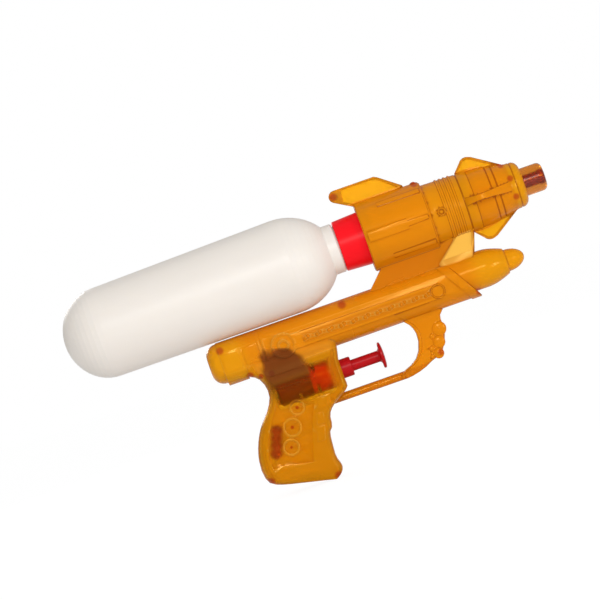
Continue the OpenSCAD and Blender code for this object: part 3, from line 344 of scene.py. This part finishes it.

# Zones of the moulding are masks. Each pair gives, in millimetres, where a mask starts and where it is full.
# The grip is clearest round the pump, and has a dark, smeared patch painted above it that leans back to its
# top.
GRIP_TOP = (80, 70)
GRIP_FRONT = (18, 2)
PATCH_SMEAR = 9 * mm
PATCH_LEAN = 0.55
PATCH_LEAN_FOOT = 66 * mm
PATCH_TOP = (83.5, 79.5)
PATCH_FRONT = (-15, -21)
PATCH_FOOT = (53, 67)
PATCH_REAR = (-46, -42)
PATCH_SHARE = 0.88
PUMP_TOP = (72, 65)
PUMP_FOOT = (42, 52)
PUMP_FRONT = (0, -10)
PUMP_REAR = (-46, -40)
grip_zone = product(tree, ramp_mm(tree, up, GRIP_TOP), ramp_mm(tree, along, GRIP_FRONT))
smear = math_node(tree, "MULTIPLY_ADD", waves.outputs["Fac"], PATCH_SMEAR, -PATCH_SMEAR / 2)
leaning = math_node(tree, "MULTIPLY_ADD", math_node(tree, "SUBTRACT", up, PATCH_LEAN_FOOT), PATCH_LEAN, along)
dark_patch_outline = product(
    tree,
    ramp_mm(tree, math_node(tree, "ADD", up, smear), PATCH_TOP),
    ramp_mm(tree, math_node(tree, "ADD", leaning, smear), PATCH_FRONT))
dark_patch = product(
    tree,
    dark_patch_outline,
    ramp_mm(tree, up, PATCH_FOOT, 0, PATCH_SHARE),
    ramp_mm(tree, math_node(tree, "ADD", along, smear), PATCH_REAR))
pump_zone = product(
    tree,
    math_node(tree, "MAXIMUM", dark_patch_outline, ramp_mm(tree, up, PUMP_TOP)),
    ramp_mm(tree, up, PUMP_FOOT),
    ramp_mm(tree, along, PUMP_FRONT),
    ramp_mm(tree, along, PUMP_REAR))

# The barrel's nose and rear, the middle of the housing and its collar get a painted highlight, brighter than
# the rest.
NOSE_REAR = (84, 96)
BARREL_REAR = (-46, -56)
LOW_END_TOP = (100, 98)
LOW_END_FOOT = (68, 74)
LOW_END_SHARE = 0.33
MIDDLE_REAR = (76, 79)
MIDDLE_FRONT = (106, 103)
MIDDLE_FOOT = (106, 108)
MIDDLE_SHARE = 0.15
COLLAR_REAR = (126.5, 128)
COLLAR_SHARE = 0.3
end_highlights = product(
    tree,
    math_node(tree, "MAXIMUM", ramp_mm(tree, along, NOSE_REAR), ramp_mm(tree, along, BARREL_REAR)),
    ramp_mm(tree, up, LOW_END_TOP),
    ramp_mm(tree, up, LOW_END_FOOT, 0, LOW_END_SHARE))
middle = product(
    tree,
    ramp_mm(tree, along, MIDDLE_REAR, 0, MIDDLE_SHARE),
    ramp_mm(tree, along, MIDDLE_FRONT))
middle = math_node(tree, "MAXIMUM", middle, ramp_mm(tree, along, COLLAR_REAR, 0, COLLAR_SHARE))
painted_highlights = math_node(tree, "MAXIMUM", end_highlights, product(tree, middle, ramp_mm(tree, up, MIDDLE_FOOT)))

# The bar of the trigger guard is darker and smoother than the rest, with only weak sink marks.
BAR_TOP = (46.5, 45)
BAR_REAR = (-11, -7)
BAR_SINK_MARKS = 0.1
guard_bar = product(tree, ramp_mm(tree, up, BAR_TOP), ramp_mm(tree, along, BAR_REAR))
sunk = product(tree, waves.outputs["Fac"], ramp(tree, guard_bar, (0, 1), 1.0, BAR_SINK_MARKS))
tree.links.new(sunk, sink_marks.inputs["Height"])

# A fin is what stands above or below the housing's round outside, which steps in and tapers to the front.
# Each fin tapers outwards and has a raised rim round a sunk, thinner area.
BORE_Z = 126 * mm
HOUSING_STEP = (76, 78)
REAR_OUTSIDE = 20.9 * mm
FRONT_OUTSIDE = 17.9 * mm
CONE = (104.5, 127.5)
CONE_TAPER = -4 * mm
FIN_STANDS = (0, 1)
FIN_SIDE = (4, 2.8)
FIN_LOWEST = (99, 101)
REAR_FIN_ROOT = 20.7 * mm
FRONT_FIN_ROOT = 17.5 * mm
REAR_FIN_SLOPE = 0.072
FRONT_FIN_SLOPE = 0.107
FIN_HALF = 2.4 * mm
FIN_SINK = (0.26, 0.1)
FIN_RIM_SHARE = 0.55
outside = math_node(
    tree, "ADD",
    ramp_mm(tree, along, HOUSING_STEP, REAR_OUTSIDE, FRONT_OUTSIDE),
    ramp_mm(tree, along, CONE, 0, CONE_TAPER))
height = math_node(tree, "ABSOLUTE", math_node(tree, "SUBTRACT", up, BORE_Z))
fin_zone = product(
    tree,
    ramp_mm(tree, math_node(tree, "SUBTRACT", height, outside), FIN_STANDS),
    ramp_mm(tree, across, FIN_SIDE),
    ramp_mm(tree, up, FIN_LOWEST))
fin_root = ramp_mm(tree, along, HOUSING_STEP, REAR_FIN_ROOT, FRONT_FIN_ROOT)
fin_slope = ramp_mm(tree, along, HOUSING_STEP, REAR_FIN_SLOPE, FRONT_FIN_SLOPE)
fin_lean = product(tree, math_node(tree, "SUBTRACT", height, fin_root), fin_slope)
fin_sunk = math_node(tree, "SUBTRACT", FIN_HALF, math_node(tree, "ADD", across, fin_lean))
fin_rim = product(tree, ramp_mm(tree, fin_sunk, FIN_SINK, 0, FIN_RIM_SHARE), fin_zone)

# The pylon's sides are darker than the raised panel in front, which has a painted sheen, brightest on a sunk
# area between two slanted lines.
PYLON_INSIDE = (5, 5.6)
PYLON_OUTSIDE = (7.6, 7.3)
PYLON_RAISED = (6.25, 6.45)
PYLON_FOOT = (95, 96)
PYLON_TOP = (109, 108)
PYLON_FRONT = (100, 98)
PANEL_FOOT = 98.8 * mm
PANEL_REAR = 75.8 * mm
PANEL_REAR_SLANT = 1.15
PANEL_FRONT = 92.8 * mm
PANEL_FRONT_SLANT = 0.33
PANEL_BORDER = (-0.3, 0.3)
PANEL_TOP = (11.6, 11)
pylon_zone = product(
    tree,
    ramp_mm(tree, across, PYLON_INSIDE),
    ramp_mm(tree, across, PYLON_OUTSIDE),
    ramp_mm(tree, up, PYLON_FOOT),
    ramp_mm(tree, up, PYLON_TOP),
    ramp_mm(tree, along, PYLON_FRONT))
raised = product(tree, pylon_zone, ramp_mm(tree, across, PYLON_RAISED))
rise = math_node(tree, "SUBTRACT", up, PANEL_FOOT)
rear_line = math_node(tree, "MULTIPLY_ADD", rise, PANEL_REAR_SLANT, PANEL_REAR)
front_line = math_node(tree, "MULTIPLY_ADD", rise, PANEL_FRONT_SLANT, PANEL_FRONT)
panel_sheen = product(
    tree,
    ramp_mm(tree, math_node(tree, "SUBTRACT", along, rear_line), PANEL_BORDER),
    ramp_mm(tree, math_node(tree, "SUBTRACT", front_line, along), PANEL_BORDER),
    ramp_mm(tree, rise, PANEL_BORDER),
    ramp_mm(tree, rise, PANEL_TOP))

# The sunk floor of the grip's side panel is thinner than the frame round it.
SIDEWAYS = (0.97, 0.995)
WINDOW_OUTSIDE = (11.4, 11.2)
WINDOW_INSIDE = (10.7, 10.9)
surface = tree.nodes.new("ShaderNodeNewGeometry")
faces = tree.nodes.new("ShaderNodeSeparateXYZ")
tree.links.new(surface.outputs["True Normal"], faces.inputs["Vector"])
window = product(
    tree,
    ramp_mm(tree, across, WINDOW_OUTSIDE),
    ramp_mm(tree, across, WINDOW_INSIDE),
    ramp(tree, math_node(tree, "ABSOLUTE", faces.outputs["Y"]), SIDEWAYS),
    grip_zone)

# Pins, posts and solid corners, where the plastic is thick, as (x, z, radius) in millimetres.
THICK = ((11.7, 93.9, 2.6), (-63.6, 91.9, 2.4), (-51.6, 72.6, 2.2), (-39.6, 69.8, 1.9), (-45.9, 70.3, 1.6),
         (127.3, 130.5, 2.0), (127.3, 119.5, 2.0), (125, 139.8, 2.0), (27.6, 154.3, 2.4), (74.0, 145.9, 2.0),
         (-22.2, 1.6, 2.6), (-60.5, 10.6, 2.6), (89.2, 74.8, 2.2), (56.9, 49.1, 2.0), (-52.2, 25.4, 3.6),
         (-50.7, 29.4, 3.6), (-49.3, 33.4, 3.6), (-47.8, 37.4, 3.6), (-32.2, 46.4, 1.1), (-38.6, 36.5, 1.1),
         (-42.9, 25.8, 0.9))
THICK_START = 1.3
THICK_FULL = 0.5
side_on = tree.nodes.new("ShaderNodeCombineXYZ")
tree.links.new(along, side_on.inputs["X"])
tree.links.new(up, side_on.inputs["Z"])
thick = None
for x, z, radius in THICK:
    spot = tree.nodes.new("ShaderNodeVectorMath")
    spot.operation = "DISTANCE"
    spot.inputs[1].default_value = (x * mm, 0, z * mm)
    tree.links.new(side_on.outputs["Vector"], spot.inputs[0])
    near = ramp_mm(tree, spot.outputs["Value"], (THICK_START * radius, THICK_FULL * radius))
    thick = near if thick is None else math_node(tree, "MAXIMUM", thick, near)

# The wall is darker along the barrel's relief strip, on the guard's bar and wherever it is seen at a slant.
# Edges get a painted shade, but painted glints on the grip, at the rear and along the strip.
STRIP_Z = 82.9 * mm
STRIP_HALF = (3.4, 2.6)
STRIP_REAR = (-17, -15)
STRIP_FRONT = (63, 61)
STRIP_SHARE = 0.4
BAR_SHARE = 0.6
PYLON_SHARE = 0.5
RAISED_SHARE = 0.7
THICK_SHARE = 0.75
SLANT = (0.45, 1.0)
SLANT_SHARE = 0.7
REAR_FRONT = (-14, -18)
REAR_FOOT = (66, 70)
REAR_SHARE = 0.8
DARK_EDGE_SHARE = 0.75
LIGHT_EDGE_SHARE = 0.55
strip_zone = product(
    tree,
    ramp_mm(tree, math_node(tree, "ABSOLUTE", math_node(tree, "SUBTRACT", up, STRIP_Z)), STRIP_HALF),
    ramp_mm(tree, along, STRIP_REAR),
    ramp_mm(tree, along, STRIP_FRONT))
colour = tinted(tree, grip_zone, skin.outputs["Colour"], AMBER_GRIP)
colour = tinted(tree, product(tree, strip_zone, STRIP_SHARE), colour, AMBER_RIM)
colour = tinted(tree, product(tree, guard_bar, BAR_SHARE), colour, AMBER_RIM)
# Thin fins are lighter; the same light amber paints highlights on the nose, rear, middle and collar.
colour = tinted(tree, math_node(tree, "MAXIMUM", fin_zone, painted_highlights), colour, AMBER_THIN_AND_HIGHLIGHT)
colour = tinted(tree, product(tree, pylon_zone, PYLON_SHARE), colour, AMBER_RIM)
# Painted sheen on the pylon's raised panel and on the sunk area between its slanted lines.
colour = tinted(tree, product(tree, raised, RAISED_SHARE), colour, AMBER_PANEL_SHEEN)
colour = tinted(tree, panel_sheen, colour, AMBER_PANEL_SHEEN)
slant = tree.nodes.new("ShaderNodeLayerWeight").outputs["Facing"]
colour = tinted(tree, ramp(tree, slant, SLANT, 0.0, SLANT_SHARE), colour, AMBER_RIM)
rear_glints = product(
    tree,
    ramp_mm(tree, along, REAR_FRONT),
    ramp_mm(tree, up, REAR_FOOT, 0, REAR_SHARE))
glinting_edges = math_node(tree, "MAXIMUM", math_node(tree, "MAXIMUM", grip_zone, rear_glints), strip_zone)
# Painted shade along edges, painted glints where they shine; the same dark colour also darkens the fins'
# rims.
edge_tint = tinted(tree, glinting_edges, AMBER_EDGE_SHADE_AND_RIM, AMBER_GLINT)
edge_share = ramp(tree, glinting_edges, (0, 1), DARK_EDGE_SHARE, LIGHT_EDGE_SHARE)
edge_share = math_node(tree, "MAXIMUM", product(tree, edges.outputs["Edge"], edge_share), fin_rim)
colour = tinted(tree, edge_share, colour, edge_tint)
colour = tinted(tree, product(tree, thick, THICK_SHARE), colour, AMBER_THICK)
# The dark, smeared patch above the pump is painted into the colour.
colour = tinted(tree, dark_patch, colour, AMBER_SHADE)
tree.links.new(colour, cloudy.inputs["Base Color"])

# The grip's shoulder, the fins and the dark patch are more satin than the rest.
SHOULDER_FOOT = (70, 73)
SHOULDER_TOP = (81, 79)
SHOULDER_FRONT = (13, 11)
SHOULDER_REAR = (-50, -46)
SATIN = 0.22
PATCH_SATIN = 0.3
shoulder = product(
    tree,
    ramp_mm(tree, up, SHOULDER_FOOT),
    ramp_mm(tree, up, SHOULDER_TOP),
    ramp_mm(tree, along, SHOULDER_FRONT),
    ramp_mm(tree, along, SHOULDER_REAR))
satin = math_node(tree, "MAXIMUM", shoulder, fin_zone)
satin = math_node(tree, "MULTIPLY_ADD", satin, SATIN, skin.outputs["Roughness"])
satin = math_node(tree, "MULTIPLY_ADD", dark_patch, PATCH_SATIN, satin)
tree.links.new(satin, cloudy.inputs["Roughness"])

# The clear share of the plastic, which lets the pump be seen.
GLASS_HAZE = 0.1
GRIP_HAZE = -0.02
GLASS_THICK_SHARE = 0.8
glass = tree.nodes.new("ShaderNodeBsdfPrincipled")
glass.inputs["Transmission Weight"].default_value = 1.0
glass.inputs["IOR"].default_value = 1.3
glass.inputs["Specular IOR Level"].default_value = AMBER_SPECULAR
glass.inputs["Specular Tint"].default_value = (*AMBER_SHINE, 1.0)
glass_tint = tinted(tree, grip_zone, AMBER_CLEAR, AMBER_WINDOW)
glass_tint = tinted(tree, fin_zone, glass_tint, AMBER_FIN)
# The clear share takes the panel's painted sheen, the dark patch and the edges' painted shade and glints too.
glass_tint = tinted(tree, panel_sheen, glass_tint, AMBER_LIT)
glass_tint = tinted(tree, dark_patch, glass_tint, AMBER_DARK_PATCH)
glass_tint = tinted(tree, edge_share, glass_tint, edge_tint)
glass_tint = tinted(tree, product(tree, thick, GLASS_THICK_SHARE), glass_tint, AMBER_THICK)
tree.links.new(glass_tint, glass.inputs["Base Color"])
see_through = math_node(tree, "MAXIMUM", grip_zone, pump_zone)
haze = math_node(tree, "ADD", satin, ramp(tree, see_through, (0, 1), GLASS_HAZE, GRIP_HAZE))
tree.links.new(haze, glass.inputs["Roughness"])
tree.links.new(relief.outputs["Normal"], glass.inputs["Normal"])
lit_glass = lit_through(tree, glass, AMBER_CLEAR)

# How clear the wall is in each zone, from 0 for cloudy to 1 for glass.
WALL_CLARITY = 0.28
GRIP_CLEARER = 0.2
WINDOW_CLEARER = 0.27
FIN_CLEARER = 0.3
PUMP_CLARITY = 0.97
PATCHED = (0.55, 0.88)
PATCHED_SHARE = 0.4
PANEL_CLEAR_SHARE = 0.35
SLANT_CLOUDS = (0.55, 0.95)
SLANT_CLEAR_SHARE = 0.15
clarity = math_node(tree, "MULTIPLY_ADD", grip_zone, GRIP_CLEARER, WALL_CLARITY)
clarity = math_node(tree, "MULTIPLY_ADD", window, WINDOW_CLEARER, clarity)
clarity = math_node(tree, "MAXIMUM", clarity, product(tree, pump_zone, PUMP_CLARITY))
clarity = product(tree, clarity, ramp(tree, dark_patch, PATCHED, 1.0, PATCHED_SHARE))
clarity = math_node(tree, "MULTIPLY_ADD", fin_zone, FIN_CLEARER, clarity)
clarity = product(tree, clarity, ramp(tree, panel_sheen, (0, 1), 1.0, PANEL_CLEAR_SHARE))
clarity = product(tree, clarity, ramp(tree, slant, SLANT_CLOUDS, 1.0, SLANT_CLEAR_SHARE))
wall = tree.nodes.new("ShaderNodeMixShader")
tree.links.new(clarity, wall.inputs["Fac"])
tree.links.new(cloudy.outputs["BSDF"], wall.inputs[1])
tree.links.new(lit_glass, wall.inputs[2])
tree.links.new(wall.outputs["Shader"], tree.nodes["Material Output"].inputs["Surface"])

# Each half is a copy of its CAD mesh, smooth between creases and drawn back a hair from the middle plane.
MERGE_DISTANCE = 0.001 * mm
ON_MIDDLE_PLANE = 0.002 * mm
SEAM_GAP = 0.02 * mm
SHELL_CREASE = math.radians(32)


def half_shell(node, side):
    mould = bmesh.new()
    mould.from_mesh(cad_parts[node].data)
    bmesh.ops.remove_doubles(mould, verts=mould.verts, dist=MERGE_DISTANCE)
    for vert in mould.verts:
        if abs(vert.co.y) < ON_MIDDLE_PLANE:
            vert.co.y = side * SEAM_GAP
    data = bpy.data.meshes.new(node + "_moulding")
    mould.to_mesh(data)
    mould.free()
    data.polygons.foreach_set("use_smooth", [True] * len(data.polygons))
    data.set_sharp_from_angle(angle=SHELL_CREASE)
    piece = bpy.data.objects.new(node + "_moulding", data)
    scene.collection.objects.link(piece)
    even = piece.modifiers.new("even", "WEIGHTED_NORMAL")
    even.keep_sharp = True
    data.materials.append(amber)
    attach(piece, "shell")
    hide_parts(node)


half_shell("right_shell", -1)
half_shell("left_shell", 1)


# Pump cylinder and valve elbows
# Dark brown mouldings in the grip. The cylinder lies along the pump's axis with its two valve towers up, and
# an elbow is pushed into the top of each tower to turn the water into its tube.
def dress(material, *nodes):
    for node in nodes:
        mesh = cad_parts[node].data
        mesh.materials.clear()
        mesh.materials.append(material)


DULL_SPECULAR = 0.12
dark, shader = moulded(
    "dark_plastic", colour=(0.12, 0.006, 0.006), flow=0.5, roughness=0.4, grain_scale=1200.0, bump=0.03)
shader.inputs["Specular IOR Level"].default_value = DULL_SPECULAR
dress(dark, "pump_cylinder", "inlet_elbow", "outlet_elbow")

# Valve balls
# Two loose balls of polished steel, one in each tower under its elbow.
# They lift off their seats as water passes and fall back to hold it.
steel, shader = moulded(
    "polished_steel", colour=(0.62, 0.62, 0.64), flow=0.12, roughness=0.16, grain_scale=2500.0, bump=0.01)
shader.inputs["Metallic"].default_value = 1.0
dress(steel, "inlet_ball", "outlet_ball")

# Gland, plunger, piston and seals
# The red gland closes the cylinder's front. The red plunger slides through it, with a pale piston pushed on
# its inner end. Black rubber rings seal the rod, the piston and the bottle's neck.
red, shader = moulded(
    "red_plastic", colour=(0.46, 0.006, 0.009), flow=0.16, roughness=0.3, grain_scale=1000.0, bump=0.03)
shader.inputs["Specular IOR Level"].default_value = DULL_SPECULAR
dress(red, "pump_gland", "trigger_plunger")
pale = moulded(
    "piston_plastic", colour=(0.62, 0.58, 0.5), flow=0.12, roughness=0.45, grain_scale=1000.0, bump=0.03)[0]
dress(pale, "piston")
rubber = moulded(
    "seal_rubber", colour=(0.022, 0.021, 0.02), flow=0.4, roughness=0.62, grain_scale=3000.0, bump=0.08)[0]
dress(rubber, "neck_seal", "gland_seal", "piston_seal")

# Return spring
# Drawn steel wire, wound right-handed with one closed turn at each end. It lies between the bore's end and
# the piston, and is shortened along the pump's axis as the trigger is pulled.
PUMP_Z = 58.6 * mm
SPRING_REAR = -38.5 * mm
SPRING_FRONT = -11.35 * mm
SPRING_RADIUS = 4.6 * mm
WIRE_RADIUS = 0.45 * mm
WIRE_SIDES = 10
END_GAP = 0.05 * mm
OPEN_TURNS = 6
CLOSED_PITCH = 2.1 * WIRE_RADIUS
OPEN_PITCH = (SPRING_FRONT - SPRING_REAR - 2 * (WIRE_RADIUS + END_GAP + CLOSED_PITCH)) / OPEN_TURNS
STEPS_A_TURN = 24


def wind(mesh, ring, centre, axis, turns, pitch):
    """Carries a ring of edges along a right-handed helix and gives back its last ring."""
    steps = round(turns * STEPS_A_TURN)
    moved = bmesh.ops.spin(mesh, geom=ring, cent=centre, axis=axis, dvec=axis * (pitch / STEPS_A_TURN),
                           angle=turns * math.tau, steps=steps, use_duplicate=False)
    return [part for part in moved["geom_last"] if isinstance(part, bmesh.types.BMEdge)]


coil = bmesh.new()
section = bmesh.ops.create_circle(coil, segments=WIRE_SIDES, radius=WIRE_RADIUS)["verts"]
bmesh.ops.rotate(coil, verts=section, cent=(0, 0, 0), matrix=Matrix.Rotation(math.radians(90), 3, "X"))
first_x = SPRING_REAR + WIRE_RADIUS + END_GAP
bmesh.ops.translate(coil, verts=section, vec=(first_x, 0, PUMP_Z + SPRING_RADIUS))
pump_axis = Vector((1, 0, 0))
axis_point = Vector((first_x, 0, PUMP_Z))
start = coil.edges[:]
end = start
for turns, pitch in ((1, CLOSED_PITCH), (OPEN_TURNS, OPEN_PITCH), (1, CLOSED_PITCH)):
    end = wind(coil, end, axis_point, pump_axis, turns, pitch)
bmesh.ops.edgeloop_fill(coil, edges=start)
bmesh.ops.edgeloop_fill(coil, edges=end)
bmesh.ops.recalc_face_normals(coil, faces=coil.faces)

PIECE_CREASE = math.radians(40)


def new_piece(name, mesh, material):
    data = bpy.data.meshes.new(name)
    mesh.to_mesh(data)
    mesh.free()
    data.polygons.foreach_set("use_smooth", [True] * len(data.polygons))
    data.set_sharp_from_angle(angle=PIECE_CREASE)
    data.materials.append(material)
    piece = bpy.data.objects.new(name, data)
    scene.collection.objects.link(piece)
    return piece


wire, shader = moulded(
    "spring_wire", colour=(0.5, 0.5, 0.52), flow=0.2, roughness=0.25, grain_scale=1500.0, bump=0.03)
shader.inputs["Metallic"].default_value = 1.0
spring = new_piece("pump_spring", coil, wire)
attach(spring, "shell")
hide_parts("return_spring")
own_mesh(spring)

# Tubes
# Clear soft tube, pushed on the nipples of the cap, the elbows and the jet. The dip tube in the bottle is
# straight at first and then bends down to the bottle's side.
tube, shader = moulded(
    "tube_plastic", colour=(0.95, 0.9, 0.8), flow=0.06, roughness=0.12, grain_scale=600.0, bump=0.02)
shader.inputs["Transmission Weight"].default_value = 0.85
shader.inputs["IOR"].default_value = 1.4
dress(tube, "dip_tube", "supply_tube", "delivery_tube")

# Nozzle tip and jet
# A clear amber spigot, held by its flange inside the collar.
# A dark glossy jet is pushed into its bore and carries the delivery tube on its rear end.
spigot, shader = moulded(
    "clear_amber", colour=(0.58, 0.18, 0.012), flow=0.14, roughness=0.18, grain_scale=700.0, bump=0.01)
shader.inputs["Transmission Weight"].default_value = 1.0
shader.inputs["IOR"].default_value = 1.46
tree = spigot.node_tree
tree.links.new(lit_through(tree, shader, AMBER_CLEAR), tree.nodes["Material Output"].inputs["Surface"])
dress(spigot, "nozzle_tip")
jet, shader = moulded(
    "jet_plastic", colour=(0.34, 0.125, 0.06), flow=0.3, roughness=0.14, grain_scale=1200.0, bump=0.02)
shader.inputs["Specular IOR Level"].default_value = 1.0
dress(jet, "nozzle_jet")

# Bottle cap
# Bright red moulded collar that the bottle's neck screws into.
# Its flange is locked behind the housing's rear wall when the half shells close on it.
cap_red, shader = moulded(
    "cap_plastic", colour=(0.93, 0.006, 0.013), flow=0.1, roughness=0.3, grain_scale=800.0, bump=0.03)
shader.inputs["Specular IOR Level"].default_value = DULL_SPECULAR
dress(cap_red, "bottle_cap")

# Bottle
# Blow-moulded milky bottle with a satin skin and a right-handed thread round its neck. It droops a little in
# the thread's play, so all that is turned on it follows the drooping axis.
SEAT = Vector((38.0775 * mm, 0, BORE_Z))
BOTTLE_AXIS = Vector((0.999925, 0, 0.012217))
milky, shader = moulded(
    "bottle_plastic", colour=(0.84, 0.78, 0.715), flow=0.06, roughness=0.4, grain_scale=260.0, bump=0.02)
shader.inputs["Subsurface Weight"].default_value = 0.12
shader.inputs["Subsurface Radius"].default_value = (1.0, 0.85, 0.65)
shader.inputs["Subsurface Scale"].default_value = 2.5 * mm
dress(milky, "bottle")

# The thread starts behind the lip and winds towards it, and its crest sinks into the neck at both ends. Its
# section is given as (place along the axis, radius) in millimetres.
THREAD_PITCH = 3.2 * mm
THREAD_TURNS = 2.25
THREAD_START = 13.6 * mm
THREAD_SECTION = ((-0.9, 12.3), (-0.35, 13.35), (0.35, 13.35), (0.9, 12.3))
CREST_FROM = 13 * mm
CREST_SINK = 0.9 * mm
thread = bmesh.new()
foot = SEAT - THREAD_START * BOTTLE_AXIS
outward = Vector((-BOTTLE_AXIS.z, 0, BOTTLE_AXIS.x))
corners = [thread.verts.new(foot + along_axis * mm * BOTTLE_AXIS + reach * mm * outward)
           for along_axis, reach in THREAD_SECTION]
profile = [thread.edges.new((corners[i - 1], corners[i])) for i in range(len(corners))]
last = wind(thread, profile, foot, BOTTLE_AXIS, THREAD_TURNS, THREAD_PITCH)
bmesh.ops.edgeloop_fill(thread, edges=profile)
bmesh.ops.edgeloop_fill(thread, edges=last)
run_out = corners + list({vert for rim in last for vert in rim.verts})
for vert in run_out:
    arm = vert.co - SEAT
    arm -= arm.dot(BOTTLE_AXIS) * BOTTLE_AXIS
    if arm.length > CREST_FROM:
        vert.co -= arm.normalized() * CREST_SINK
bmesh.ops.recalc_face_normals(thread, faces=thread.faces)
neck_thread = new_piece("bottle_thread", thread, milky)
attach(neck_thread, "bottle")
